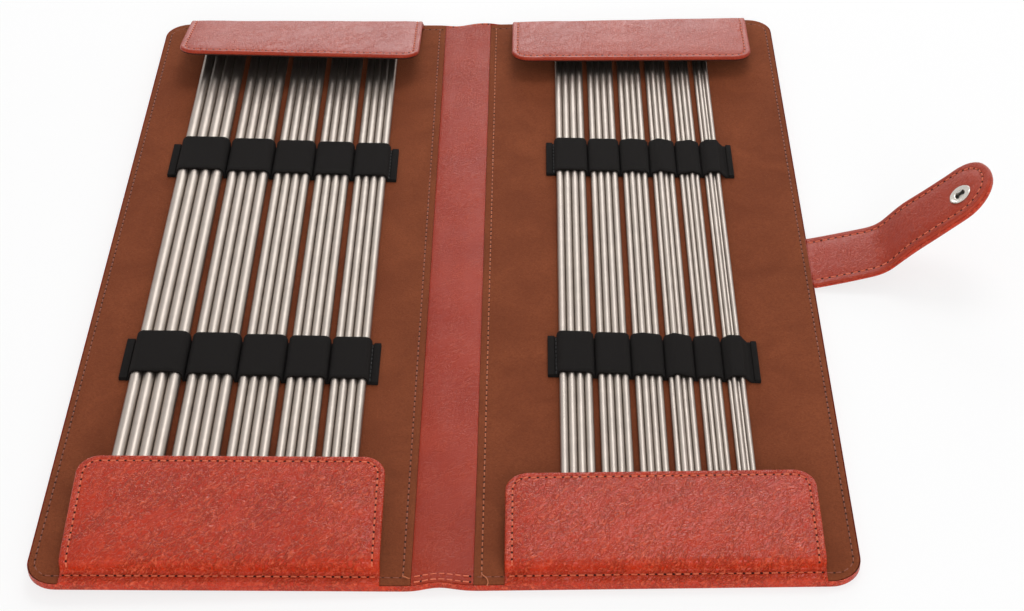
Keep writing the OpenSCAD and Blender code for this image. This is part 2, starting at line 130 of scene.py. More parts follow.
class Finish:
    """A material and the short calls that build its nodes."""

    def __init__(self, name, **sockets):
        self.material = bpy.data.materials.new(name)
        self.material.use_nodes = True
        self.nodes = self.material.node_tree.nodes
        self.links = self.material.node_tree.links
        self.shader = self.nodes["Principled BSDF"]
        self.place = self.nodes.new("ShaderNodeTexCoord").outputs["Object"]
        for socket, value in sockets.items():
            self.shader.inputs[socket.replace("_", " ")].default_value = value

    def node(self, kind, inputs=None, **settings):
        made = self.nodes.new("ShaderNode" + kind)
        for key, value in settings.items():
            setattr(made, key, value)
        for key, value in (inputs or {}).items():
            if isinstance(value, bpy.types.NodeSocket):
                self.links.new(value, made.inputs[key])
            else:
                made.inputs[key].default_value = value
        return made

    def mapped(self, scale=(1, 1, 1), turn=0.0):
        """Turned about Z by degrees, then scaled: a pattern that runs along a slanting line."""
        turned = self.node("Mapping", {
            "Vector": self.place, "Rotation": (0, 0, math.radians(turn))}).outputs["Vector"]
        return self.node("Mapping", {"Vector": turned, "Scale": scale}).outputs["Vector"]

    def noise(self, scale, detail=3.0, roughness=0.5, distortion=0.0, place=None):
        return self.node("TexNoise", {
            "Vector": place or self.place, "Scale": scale, "Detail": detail,
            "Roughness": roughness, "Distortion": distortion,
        }).outputs["Fac"]

    def cells(self, scale, feature="F1", randomness=1.0, place=None):
        return self.node("TexVoronoi", {
            "Vector": place or self.place, "Scale": scale, "Randomness": randomness,
        }, feature=feature).outputs["Distance"]

    def stretch(self, value, from_min, from_max, to_min=0.0, to_max=1.0):
        return self.node("MapRange", {
            "Value": value, "From Min": from_min, "From Max": from_max,
            "To Min": to_min, "To Max": to_max,
        }).outputs["Result"]

    def math(self, operation, a, b=0.0):
        made = self.node("Math", operation=operation)
        for socket, value in zip(made.inputs, (a, b)):
            if isinstance(value, bpy.types.NodeSocket):
                self.links.new(value, socket)
            else:
                socket.default_value = value
        return made.outputs["Value"]

    def mix(self, share, a, b, blend_type="MIX"):
        made = self.node("Mix", data_type="RGBA", blend_type=blend_type)
        for index, value in ((0, share), (6, a), (7, b)):
            if isinstance(value, bpy.types.NodeSocket):
                self.links.new(value, made.inputs[index])
            else:
                made.inputs[index].default_value = value
        return made.outputs[2]

    def colour(self, value):
        self.links.new(value, self.shader.inputs["Base Color"])

    def roughness(self, value):
        self.links.new(value, self.shader.inputs["Roughness"])

    def bump(self, height, distance, strength=1.0):
        made = self.node("Bump", {"Height": height, "Distance": distance, "Strength": strength})
        self.links.new(made.outputs["Normal"], self.shader.inputs["Normal"])


def leather_finish(name, light, mid, dark, gloss=0.32, grain=1.0, shine=0.2):
    """Glazed leather: sparse slanting wrinkles over a smooth grain, with painted glints on the wrinkles' ridges
    and painted shade in their creases.
    """
    f = Finish(name, Specular_IOR_Level=shine)
    slanted = f.mapped(scale=(1.0, 2.2, 1.5), turn=-48)
    worked = f.stretch(f.noise(60, 2, 0.5, 0.8, slanted), 0.36, 0.6, 0.4, 1.0)
    clouds = f.stretch(f.noise(30, 3, 0.55), 0.32, 0.68)
    pores = f.stretch(f.noise(1100, 2, 0.5, 0.3, slanted), 0.3, 0.7)

    def wrinkle(field, level, width):
        off = f.math("ABSOLUTE", f.math("SUBTRACT", field, level))
        return f.math("MULTIPLY", f.stretch(off, 0.0, width, 1.0, 0.0), worked)

    wide = f.noise(250, 1, 0.4, 0.6, slanted)
    small = f.noise(430, 1, 0.3, 0.7, slanted)
    ridges_and_painted_glints = f.math("MAXIMUM", wrinkle(wide, 0.5, 0.05), wrinkle(small, 0.5, 0.07))
    creases_and_painted_shade = f.math("MAXIMUM", wrinkle(wide, 0.42, 0.05), wrinkle(small, 0.4, 0.07))
    tone = f.mix(clouds, mid, light)
    tone = f.mix(f.stretch(pores, 0.0, 1.0, 0.12 * grain, 0.0), tone, dark)
    # Painted highlight: the wrinkles' ridges are lightened towards pale orange as glints.
    tone = f.mix(f.math("MULTIPLY", ridges_and_painted_glints, 0.5 * grain), tone, linear(244, 122, 84))
    # Painted shade: the wrinkles' creases are darkened towards the dark tone.
    tone = f.mix(f.math("MULTIPLY", creases_and_painted_shade, 0.4 * grain), tone, dark)
    f.colour(tone)
    f.roughness(f.stretch(pores, 0, 1, gloss + 0.04, gloss - 0.03))
    height = f.math("SUBTRACT", f.math("MULTIPLY", ridges_and_painted_glints, 0.6), f.math("MULTIPLY", creases_and_painted_shade, 0.4))
    height = f.math("ADD", height, f.math("MULTIPLY", clouds, 1.5))
    f.bump(height, 0.0006 * grain)
    return f.material


def suede_finish():
    """Microsuede: short brown nap that lies in soft patches, with fine pale fibre ends."""
    f = Finish(
        "brown suede", Roughness=0.95, Specular_IOR_Level=0.1,
        Sheen_Weight=0.1, Sheen_Roughness=0.5,
    )
    f.shader.inputs["Sheen Tint"].default_value = linear(220, 150, 110)
    patches = f.stretch(f.noise(38, 4, 0.6, 0.6), 0.3, 0.7)
    nap = f.noise(1300, 4, 0.75)
    tone = f.mix(patches, linear(117, 59, 35), linear(136, 72, 44))
    tone = f.mix(f.stretch(nap, 0.3, 0.6, 0.6, 0.0), tone, linear(94, 46, 28))
    fibres = f.stretch(f.cells(420, place=f.mapped(scale=(1, 1.8, 1), turn=25)), 0.09, 0.04, 0.0, 0.55)
    tone = f.mix(fibres, tone, linear(178, 112, 78))
    f.colour(tone)
    f.bump(f.math("ADD", nap, f.math("MULTIPLY", patches, 0.3)), 0.0004, 0.8)
    return f.material


def elastic_finish():
    """Woven elastic: fine ribs along the band, crossed by the weft, with a little fuzz."""
    f = Finish("black elastic", Roughness=0.9, Specular_IOR_Level=0.08)
    ribs = f.node("TexWave", {
        "Vector": f.place, "Scale": 620.0, "Distortion": 0.6, "Detail": 2.0, "Detail Scale": 3.0,
    }, wave_type="BANDS", bands_direction="Y").outputs["Fac"]
    weft = f.node("TexWave", {
        "Vector": f.place, "Scale": 800.0, "Distortion": 0.6, "Detail": 1.0, "Detail Scale": 2.0,
    }, wave_type="BANDS", bands_direction="X").outputs["Fac"]
    fuzz = f.noise(1900, 3, 0.7)
    height = f.math("ADD", f.math("MULTIPLY", ribs, 0.5), f.math("MULTIPLY", weft, 0.25))
    height = f.math("ADD", height, f.math("MULTIPLY", fuzz, 0.7))
    tone = f.mix(f.stretch(height, 0.4, 1.2), linear(19, 17, 16), linear(32, 29, 28))
    f.colour(tone)
    f.bump(height, 0.00009)
    return f.material


def steel_finish(name, tint, rough):
    """Metal with a soft satin polish: faint cloudy wear and very fine polishing lines."""
    f = Finish(name, Metallic=1.0)
    lines = f.noise(2400, 2, 0.5, 0.0, f.mapped(scale=(1.0, 0.04, 1.0)))
    wear = f.stretch(f.noise(110, 3, 0.6), 0.3, 0.7)
    worn = tuple(0.88 * c for c in tint[:3]) + (1,)
    f.colour(f.mix(wear, tint, worn))
    f.roughness(f.stretch(lines, 0.3, 0.7, rough - 0.02, rough + 0.04))
    f.bump(lines, 0.000004)
    return f.material


def thread_finish(name, light, dark):
    """Twisted sewing thread."""
    f = Finish(name, Roughness=0.62, Specular_IOR_Level=0.35, Sheen_Weight=0.1)
    twist = f.node("TexWave", {
        "Vector": f.mapped(turn=40), "Scale": 900.0,
        "Distortion": 0.4, "Detail": 1.0,
    }, wave_type="BANDS", bands_direction="X").outputs["Fac"]
    f.colour(f.mix(twist, dark, light))
    f.bump(twist, 0.00006)
    return f.material


def plain_finish(name, light, dark, scale, rough, depth):
    """A matt material with speckled colour and a fine tooth."""
    f = Finish(name, Roughness=rough, Specular_IOR_Level=0.25)
    speckle = f.noise(scale, 4, 0.65)
    f.colour(f.mix(f.stretch(speckle, 0.3, 0.7), dark, light))
    f.bump(speckle, depth)
    return f.material


RED = leather_finish(
    "red leather", linear(186, 50, 20), linear(172, 41, 15), linear(128, 20, 4),
    gloss=0.27, grain=0.72, shine=0.21)
SMOOTH_RED = leather_finish(
    "smooth red leather", linear(162, 57, 38), linear(152, 50, 32), linear(114, 30, 18),
    gloss=0.34, grain=0.25, shine=0.12)
STRIP_RED = leather_finish(
    "spine leather", linear(157, 50, 28), linear(142, 40, 21), linear(112, 27, 14),
    gloss=0.42, grain=0.2, shine=0.115)
# A darker, duller copy of the flap leather for the top flaps, with a smoother grain: its colour is painted shade
# for how light falls on them.
TOP_FLAP_SHADED_RED = leather_finish(
    "far flap leather", linear(158, 52, 29), linear(146, 42, 23), linear(116, 26, 12),
    gloss=0.34, grain=0.22, shine=0.17)
SUEDE = suede_finish()
UNDERSIDE = plain_finish(
    "flap underside", linear(58, 31, 24), linear(40, 21, 17), 1800, 0.9, 0.00008)
ELASTIC = elastic_finish()
STEEL = steel_finish("satin steel", (0.40, 0.35, 0.31, 1), 0.38)
SPRING = steel_finish("spring steel", (0.72, 0.70, 0.68, 1), 0.22)
NICKEL = steel_finish("nickel", (0.62, 0.58, 0.53, 1), 0.24)
LINING_THREAD = thread_finish("orange thread", linear(204, 118, 72), linear(160, 82, 48))
FOLD_THREAD = thread_finish("dull orange thread", linear(170, 92, 58), linear(130, 64, 40))
EDGE_THREAD = thread_finish("brown thread", linear(148, 80, 54), linear(116, 58, 38))
FLAP_THREAD = thread_finish("red thread", linear(226, 120, 82), linear(190, 80, 52))
BLACK_THREAD = thread_finish("black thread", linear(26, 25, 25), linear(14, 14, 14))
# Needle holes are dark discs: painted shade for the hollow of each hole.
HOLE_SHADE = plain_finish("needle hole", linear(44, 12, 8), linear(30, 8, 5), 900, 0.9, 0.00004)
LINING_HOLE_SHADE = plain_finish(
    "needle hole in suede", linear(62, 34, 24), linear(44, 24, 17), 900, 0.9, 0.00004)
BOARD = plain_finish("grey board", linear(150, 146, 138), linear(118, 113, 105), 700, 0.9, 0.0001)
FOAM = plain_finish("foam", linear(226, 221, 208), linear(204, 197, 180), 1300, 0.95, 0.0002)


# Mesh helpers

def flat_plate(x0, x1, y0, y1, z0, z1, radii):
    """A flat plate whose corners, from (x0, y0) counterclockwise, have these radii."""
    bm = bmesh.new()
    corners = [bm.verts.new((x, y, z0)) for x, y in ((x0, y0), (x1, y0), (x1, y1), (x0, y1))]
    bm.faces.new(corners)
    for corner, radius in zip(corners, radii):
        if radius:
            bmesh.ops.bevel(
                bm, geom=[corner], affect="VERTICES", offset=radius, offset_type="OFFSET",
                segments=10, profile=0.5, material=-1)
    raised = bmesh.ops.extrude_face_region(bm, geom=bm.faces[:])["geom"]
    bmesh.ops.translate(bm, vec=(0, 0, z1 - z0), verts=[v for v in raised if is_vert(v)])
    bmesh.ops.recalc_face_normals(bm, faces=bm.faces)
    return bm


def is_vert(element):
    return isinstance(element, bmesh.types.BMVert)


def level_edges(bm, z, keep=lambda middle: True):
    """The outline's edges at one height."""
    return [
        e for e in bm.edges
        if all(abs(v.co.z - z) < 1e-4 for v in e.verts)
        and len({round(f.normal.z) for f in e.link_faces}) > 1
        and keep((e.verts[0].co + e.verts[1].co) / 2)
    ]


def round_over(bm, edges, radius, segments=3):
    bmesh.ops.bevel(
        bm, geom=edges, affect="EDGES", offset=radius, offset_type="OFFSET",
        segments=segments, profile=0.5, material=-1, clamp_overlap=True)


def cut(bm, axis, places):
    """Adds edges where planes square to an axis cross the mesh, so that it can bend there."""
    for place in places:
        normal = Vector((0, 0, 0))
        normal[axis] = 1
        bmesh.ops.bisect_plane(
            bm, geom=bm.verts[:] + bm.edges[:] + bm.faces[:],
            plane_co=normal * place, plane_no=normal)


def steps(start, stop, pitch):
    count = max(1, round(abs(stop - start) / pitch))
    return [start + (stop - start) * i / count for i in range(count + 1)]


def ring(bm, widths):
    """Insets the top face again and again, so that a groove can follow the outline's corners."""
    top = max(bm.faces, key=lambda f: (round(f.calc_center_median().z, 3), f.calc_area()))
    for width in widths:
        bmesh.ops.inset_region(bm, faces=[top], thickness=width, use_even_offset=True)


def depth_in(across, ahead, radius):
    """How far a point lies inside an outline with a rounded corner, from its two distances."""
    if across < radius and ahead < radius:
        return radius - math.hypot(radius - across, radius - ahead)
    return min(across, ahead)


def groove(gap, depth, half_width=1.0):
    """How far a seam draws the surface down at a distance from its line."""
    return depth * (1 - shelf(gap, 0, half_width))


def move_points(bm, rule):
    for v in bm.verts:
        v.co = rule(v.co)


def shelf(value, start, stop):
    """A smooth step from 0 at start to 1 at stop."""
    t = min(1, max(0, (value - start) / (stop - start)))
    return t * t * (3 - 2 * t)


def finish_piece(name, bm, finishes, sharp=35):
    """Makes the object: its place is in its mesh, in metres."""
    bmesh.ops.remove_doubles(bm, verts=bm.verts, dist=1e-4)
    bmesh.ops.recalc_face_normals(bm, faces=bm.faces)
    bmesh.ops.scale(bm, vec=(MM, MM, MM), verts=bm.verts)
    for face in bm.faces:
        face.smooth = True
    for edge in bm.edges:
        edge.smooth = not (
            edge.is_manifold and edge.calc_face_angle(0) > math.radians(sharp))
    mesh = bpy.data.meshes.new(name)
    bm.to_mesh(mesh)
    bm.free()
    for finish in finishes:
        mesh.materials.append(finish)
    piece = bpy.data.objects.new(name, mesh)
    bpy.context.scene.collection.objects.link(piece)
    return piece


def lean(point, share=1.0):
    """A point of the right cover, taken to the leaning left one."""
    angle = LEFT_LEAN * share
    x, z = point.x - HINGE_X, point.z - HINGE_Z
    return Vector((
        -(HINGE_X + x * math.cos(angle) - z * math.sin(angle)),
        point.y,
        HINGE_Z + x * math.sin(angle) + z * math.cos(angle),
    ))


def to_side(bm, side):
    """Takes what was drawn on the right cover to its own side."""
    if side == "left":
        move_points(bm, lean)
        bmesh.ops.reverse_faces(bm, faces=bm.faces)


# Stitching

PITCH = 3.1
STITCH_LONG = 2.1


def along(points, pitch, first=0.5):
    """Places and directions at an even pitch along a line of points."""
    spots = []
    left = pitch * first
    for a, b in zip(points, points[1:]):
        a, b = Vector(a), Vector(b)
        length = (b - a).length
        while left <= length:
            spots.append((a + (b - a) * (left / length), (b - a).normalized()))
            left += pitch
        left -= length
    return spots


def arc(cx, cy, radius, start, stop, count=8):
    """Points on an arc, with the angles in degrees."""
    return [
        (cx + radius * math.cos(math.radians(a)), cy + radius * math.sin(math.radians(a)), 0)
        for a in steps(start, stop, abs(stop - start) / count)
    ]


def sew(bm, points, height, pitch=PITCH, length=STITCH_LONG, width=0.58, hole_shades=True, seed=1):
    """A row of short rounded stitches at one height, with a needle hole between each two, drawn as a dark disc
    of painted shade.
    """
    draw = random.Random(seed)
    for spot, direction in along(points, pitch):
        turn = math.atan2(direction.y, direction.x) + draw.uniform(-0.07, 0.07)
        size = Matrix.Diagonal((
            length * draw.uniform(0.86, 1.06), width * draw.uniform(0.85, 1.1), 0.4, 1))
        place = Matrix.Translation((spot.x, spot.y, height)) @ Matrix.Rotation(turn, 4, "Z")
        made = bmesh.ops.create_cube(bm, size=1, matrix=place @ size)["verts"]
        for v in made:
            for face in v.link_faces:
                face.material_index = 0
    round_over(bm, bm.edges[:], 0.16, 2)
    if hole_shades:
        # Each needle hole is a dark disc of painted shade.
        for spot, direction in along(points, pitch, 1.0):
            made = bmesh.ops.create_cone(
                bm, cap_ends=True, segments=8, radius1=0.5, radius2=0.44, depth=0.16,
                matrix=Matrix.Translation((spot.x, spot.y, height - 0.06)))["verts"]
            for v in made:
                for face in v.link_faces:
                    face.material_index = 1
    return bm


def joined(*parts):
    """One mesh from several."""
    whole = bmesh.new()
    for part in parts:
        mesh = bpy.data.meshes.new("part")
        part.to_mesh(mesh)
        part.free()
        whole.from_mesh(mesh)
        bpy.data.meshes.remove(mesh)
    return whole


# Spine and covers

SPINE_SEAM_X = 14.0
SIDE_SEAM = 1.8
END_SEAM = 3.3
RIM_Z = TOP_Z - 0.12
LINING_R = CORNER_R - 0.8
LINING_LAP = 0.35


def spine_wave(point):
    """The soft spine lifts and draws in a little at both ends."""
    near = max(0.0, 1 - (abs(point.x) / 15) ** 4)
    end = shelf(abs(point.y), CASE_Y - 26, CASE_Y)
    if point.y < 0:
        lift = 1.0 * math.exp(-((point.x + 2.5) / 6.5) ** 2)
        slide = 0.9 * math.exp(-((point.x - 0.5) / 7) ** 2)
    else:
        lift = 1.0 * shelf(point.x, -7, 9)
        slide = 1.1 * math.exp(-((point.x + 5) / 6) ** 2)
    return Vector((
        point.x,
        point.y - math.copysign(slide * near * end, point.y),
        point.z + lift * near * end,
    ))


def case_tray():
    """Outer leather of the whole open case, turned up round the boards' and linings' edges."""
    bm = flat_plate(-COVER_X, COVER_X, -CASE_Y, CASE_Y, 0, RIM_Z, [CORNER_R] * 4)
    top = [f for f in bm.faces if f.normal.z > 0.9]
    bmesh.ops.inset_region(bm, faces=top, thickness=SKIN_T, use_even_offset=True)
    bmesh.ops.translate(
        bm, vec=(0, 0, SKIN_T - RIM_Z), verts=list({v for f in top for v in f.verts}))
    rim = [e for e in level_edges(bm, RIM_Z) if e.calc_face_angle(0) > 1
           and any(abs(f.normal.z) < 0.1 and f.calc_center_median().z > SKIN_T + 0.1
                   and outside(e, f) for f in e.link_faces)]
    round_over(bm, rim, 0.5, 3)
    round_over(bm, level_edges(bm, 0), 0.85, 4)
    return bm


def outside(edge, face):
    """Whether an upright face looks away from the middle of the case."""
    return face.normal.dot(face.calc_center_median()) > 0


def case_half(side):
    """Half the outer leather, from the spine's middle line to a fore edge."""
    bm = case_tray()
    bmesh.ops.bisect_plane(
        bm, geom=bm.verts[:] + bm.edges[:] + bm.faces[:], plane_co=(0, 0, 0),
        plane_no=(1, 0, 0), clear_inner=True)
    bmesh.ops.holes_fill(bm, edges=[e for e in bm.edges if e.is_boundary], sides=0)
    cut(bm, 0, steps(1, HINGE_X - 3, 2) + steps(HINGE_X - 2.6, HINGE_X + 3, 0.4) + [16])
    cut(bm, 1, [s * y for s in (-1, 1) for y in (CASE_Y - 26, CASE_Y - 18, CASE_Y - 10, CASE_Y - 4)])
    sign = -1 if side == "left" else 1
    start_x, stop_x = HINGE_X - 1.9, HINGE_X + 1.9

    def place(point):
        waved = spine_wave(Vector((sign * point.x, point.y, point.z)))
        if side == "right":
            return waved
        return lean(Vector((-waved.x, waved.y, waved.z)), shelf(point.x, start_x, stop_x))

    move_points(bm, place)
    piece = finish_piece(f"{side}_case_leather", bm, [RED])
    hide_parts(f"{side}_cover_skin", "spine_outer_skin")
    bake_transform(piece)


def spine_board():
    """Soft stiffener between the outer leather and the strip, short of the turned ends."""
    bm = flat_plate(
        -SPINE_X + 0.2, SPINE_X - 0.2, 1 - CASE_Y, CASE_Y - 1, SKIN_T, LINING_Z, [1] * 4)
    cut(bm, 0, steps(-8, 8, 2))
    cut(bm, 1, [s * y for s in (-1, 1) for y in (CASE_Y - 26, CASE_Y - 18, CASE_Y - 10, CASE_Y - 4)])
    move_points(bm, spine_wave)
    piece = finish_piece("spine_board", bm, [BOARD])
    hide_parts("spine_stiffener")
    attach(piece, "spine")


def spine_strip():
    """Leather strip between the linings: it swells slightly along its middle."""
    half = LINING_X0 - 0.03
    bm = flat_plate(
        -half, half, 0.3 - CASE_Y, CASE_Y - 0.3, LINING_Z, TOP_Z, [0.4] * 4)
    round_over(bm, level_edges(bm, TOP_Z), 0.2, 2)
    cut(bm, 0, steps(-10, 10, 1.25))
    cut(bm, 1, steps(-CASE_Y + 3, CASE_Y - 3, 4))

    def swell(point):
        across = 1 - abs(point.x / half) ** 3
        ripple = noise.noise(Vector((point.x / 9, point.y / 22, 3.1)))
        sewn = shelf(CASE_Y - abs(point.y), 5, 13)
        rise = 0.0
        if point.z > LINING_Z + 0.1:
            rise = -0.22 + across * (0.25 + sewn * (0.35 + 0.4 * ripple))
        return spine_wave(Vector((point.x, point.y, point.z + rise)))

    move_points(bm, swell)
    piece = finish_piece("spine_strip_leather", bm, [STRIP_RED])
    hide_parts("spine_inner_strip")
    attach(piece, "spine")
    rows = []
    for row, (end, inset) in enumerate(((-1, 1.6), (-1, 4.4), (1, 0.9))):
        y = end * (CASE_Y - inset)
        line = [(-half + 0.8, y, 0), (half - 0.8, y, 0)]
        rows.append(sew(bmesh.new(), line, TOP_Z - 0.05, 2.9, 2.2, seed=row + 5))
    bm = joined(*rows)
    move_points(bm, spine_wave)
    piece = finish_piece("spine_strip_stitches", bm, [FLAP_THREAD, HOLE_SHADE])
    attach(piece, "spine")


def lining_seams():
    """The lining's seams: a long row beside the fold and one round the other three edges."""
    x1, y1, r = LINING_X1 - SIDE_SEAM, LINING_Y - END_SEAM, LINING_R - END_SEAM
    beside_fold = [(SPINE_SEAM_X, -y1 - 0.5, 0), (SPINE_SEAM_X, y1 + 0.5, 0)]
    round_edges = (
        [(LINING_X0 + 0.6, -y1, 0)]
        + arc(x1 - r, -y1 + r, r, -90, 0)
        + arc(x1 - r, y1 - r, r, 0, 90)
        + [(LINING_X0 + 0.6, y1, 0)]
    )
    return beside_fold, round_edges


def lining(side):
    """Suede lining, drawn down along its seams and soft between them."""
    x1, y1, r = LINING_X1 + LINING_LAP, LINING_Y + LINING_LAP, LINING_R + LINING_LAP
    bm = flat_plate(LINING_X0, x1, -y1, y1, LINING_Z, TOP_Z, [0, r, r, 0])
    round_over(bm, level_edges(bm, TOP_Z), 0.14, 2)
    seam_x, seam_y = LINING_X1 - SIDE_SEAM, LINING_Y - END_SEAM
    beside = [-0.9, -0.45, 0, 0.45, 0.9]
    cut(bm, 0, [x + d for x in (SPINE_SEAM_X, seam_x) for d in beside]
        + steps(20, LINING_X1 - 12, 8))
    cut(bm, 1, [end * seam_y + d for end in (-1, 1) for d in beside]
        + steps(12 - LINING_Y, LINING_Y - 12, 8))

    def soften(point):
        if point.z < LINING_Z + 0.1:
            return point
        gap = min(
            abs(point.x - SPINE_SEAM_X), abs(point.x - seam_x), abs(abs(point.y) - seam_y))
        nap = 0.1 * noise.noise(Vector((point.x / 16, point.y / 16, 7.7)))
        return Vector((point.x, point.y, point.z - groove(gap, 0.18, 0.9) + min(0.04, nap)))

    move_points(bm, soften)
    to_side(bm, side)
    piece = finish_piece(f"{side}_lining_suede", bm, [SUEDE], sharp=50)
    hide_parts(f"{side}_lining")
    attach(piece, f"{side}_cover")
    beside_fold, round_edges = lining_seams()
    fold_thread = FOLD_THREAD if side == "left" else LINING_THREAD
    for name, line, thread in (
            ("fold", beside_fold, fold_thread), ("edge", round_edges, EDGE_THREAD)):
        bm = sew(bmesh.new(), line, TOP_Z - 0.12, width=0.45, seed=len(side + name))
        to_side(bm, side)
        piece = finish_piece(f"{side}_lining_{name}_stitches", bm, [thread, LINING_HOLE_SHADE])
        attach(piece, f"{side}_cover")


def thread_end(side, points):
    """A loose end of sewing thread that lies on the case."""
    bm = bmesh.new()
    radius, sides = 0.22, 6
    tube = []
    for a, b in zip(points, points[1:] + [points[-1] * 2 - points[-2]]):
        turn = (b - a).to_track_quat("Z", "Y").to_matrix().to_4x4()
        made = bmesh.ops.create_circle(
            bm, segments=sides, radius=radius, matrix=Matrix.Translation(a) @ turn)["verts"]
        tube.append({e for v in made for e in v.link_edges})
    for a, b in zip(tube, tube[1:]):
        bmesh.ops.bridge_loops(bm, edges=list(a | b))
    for end in (tube[0], tube[-1]):
        bmesh.ops.edgeloop_fill(bm, edges=list(end))
    to_side(bm, side)
    piece = finish_piece(f"{side}_loose_thread_end", bm, [LINING_THREAD])
    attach(piece, f"{side}_cover")


def bent_line(points, pitch=0.5):
    """A soft curve through points, for a thread."""
    line = []
    ends = [points[0] * 2 - points[1]] + points + [points[-1] * 2 - points[-2]]
    for a, b, c, d in zip(ends, ends[1:], ends[2:], ends[3:]):
        for t in steps(0, 1, pitch)[:-1]:
            line.append(0.5 * (
                2 * b + (c - a) * t + (2 * a - 5 * b + 4 * c - d) * t ** 2
                + (3 * b - a - 3 * c + d) * t ** 3))
    return line + [points[-1]]


# Elastic bands

BAND_SHEAR = {
    ("left", "lower"): 2.2, ("left", "upper"): 3.3,
    ("right", "lower"): -5.5, ("right", "upper"): -4.5,
}


# Bare elastic past the outermost loop, towards the case's fore edge
OUTER_TAB = {"left": 4.7, "right": 6.1}
# How far the outermost loop's far side leans out
OUTER_LEAN = {"left": 0.0, "right": 2.4}


def needle_axes(side, size):
    """Centres (x, z) of the four needles of a set, drawn on the right cover."""
    mesh = frame["nodes"][f"needles_{size}"].data
    tip_y = max(v.co.y for v in mesh.vertices)
    tips = {(round(v.co.x / MM, 3), round(v.co.z / MM, 3))
            for v in mesh.vertices if v.co.y > tip_y - 1e-6}
    if side == "right":
        return sorted(tips)
    angle = -LEFT_LEAN
    upright = []
    for x, z in tips:
        dx, dz = -x - HINGE_X, z - HINGE_Z
        upright.append((
            HINGE_X + dx * math.cos(angle) - dz * math.sin(angle),
            HINGE_Z + dx * math.sin(angle) + dz * math.cos(angle)))
    return sorted(upright)


SETS = {
    "left": ["3_50", "3_75", "4_00", "4_50", "5_00"],
    "right": ["3_25", "3_00", "2_75", "2_50", "2_25", "2_00"],
}


def loop_line(axes, radius):
    """A loop drawn tight round needles, from its left foot over to its right foot."""
    line = [(axes[0][0] - radius, TOP_Z)]
    for step in range(13):
        angle = math.radians(180 - 15 * step)
        c, s = math.cos(angle), math.sin(angle)
        x, z = max(axes, key=lambda a: (round(a[0] * c + a[1] * s, 3), -a[0] * c))
        line.append((x + radius * c, z + radius * s))
    line.append((axes[-1][0] + radius, TOP_Z))
    return line


def band(side, row):
    """One elastic band: its loops, the sewn strips between them, and its folded ends."""
    y = (low(f"right_{row}_elastic").y + high(f"right_{row}_elastic").y) / 2
    width = high(f"right_{row}_elastic").y - low(f"right_{row}_elastic").y
    sets = [(needle_axes(side, size), float(size.replace("_", ".")) / 2 + LOOP_ROOM)
            for size in SETS[side]]
    inner_tab, outer_tab = 4.2, OUTER_TAB[side]
    start = sets[0][0][0][0] - sets[0][1] + LOOP_ROOM - inner_tab
    stop = sets[-1][0][-1][0] + sets[-1][1] - LOOP_ROOM + outer_tab
    line = [(start, TOP_Z)]
    for axes, radius in sets:
        line += loop_line(axes, radius)
    line[-1] = (line[-1][0] + OUTER_LEAN[side], TOP_Z)
    line.append((stop, TOP_Z))
    bm = bmesh.new()
    points = [bm.verts.new((x, y - width / 2, z)) for x, z in line]
    edges = [bm.edges.new(pair) for pair in zip(points, points[1:])]
    drawn = bmesh.ops.extrude_edge_only(bm, edges=edges)["geom"]
    bmesh.ops.translate(bm, vec=(0, width, 0), verts=[v for v in drawn if is_vert(v)])
    bmesh.ops.recalc_face_normals(bm, faces=bm.faces)
    if sum(f.normal.z for f in bm.faces) < 0:
        bmesh.ops.reverse_faces(bm, faces=bm.faces)
    bmesh.ops.solidify(bm, geom=bm.faces[:], thickness=-ELASTIC_T)
    bmesh.ops.recalc_face_normals(bm, faces=bm.faces)
    rim = [e for e in bm.edges
           if len(e.link_faces) == 2 and abs(e.verts[0].co.y - e.verts[1].co.y) < 1e-4
           and {round(abs(f.normal.y)) for f in e.link_faces} == {0, 1}]
    round_over(bm, rim, 0.28, 2)
    cut(bm, 1, steps(y - width / 2 + 2, y + width / 2 - 2, 3))
    ends = []
    for x0, x1 in ((start - 0.3, start + inner_tab - 1.6), (
            stop - outer_tab + OUTER_LEAN[side] + 1.6, stop + 0.3)):
        fold = flat_plate(
            x0, x1, y - width / 2 + 0.05, y + width / 2 - 0.05, TOP_Z + 0.02,
            TOP_Z + 2 * ELASTIC_T, [0.4] * 4)
        round_over(fold, level_edges(fold, TOP_Z + 2 * ELASTIC_T), 0.6, 4)
        ends.append(fold)
    bm = joined(bm, *ends)
    for face in bm.faces:
        face.material_index = 0
    shear = BAND_SHEAR[side, row] / (stop - start)
    middle = (start + stop) / 2

    def skew(point):
        pinch = 0.985 if point.z < TOP_Z + 1.7 else 1.0
        return Vector((
            point.x, y + (point.y - y) * pinch + shear * (point.x - middle), point.z))

    move_points(bm, skew)
    to_side(bm, side)
    piece = finish_piece(f"{side}_{row}_elastic_band", bm, [ELASTIC], sharp=60)
    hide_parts(f"{side}_{row}_elastic")
    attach(piece, f"{side}_cover")
    rows = []
    for x in (start + inner_tab - 1.1, stop - outer_tab + 1.1):
        line = [(x, y - width / 2 + 1, 0), (x, y + width / 2 - 1, 0)]
        rows.append(sew(bmesh.new(), line, TOP_Z + ELASTIC_T + 0.05, 2.6, 1.9, 0.5, hole_shades=False))
    bm = joined(*rows)
    move_points(bm, skew)
    to_side(bm, side)
    piece = finish_piece(f"{side}_{row}_elastic_stitches", bm, [BLACK_THREAD])
    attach(piece, f"{side}_cover")


# Flaps

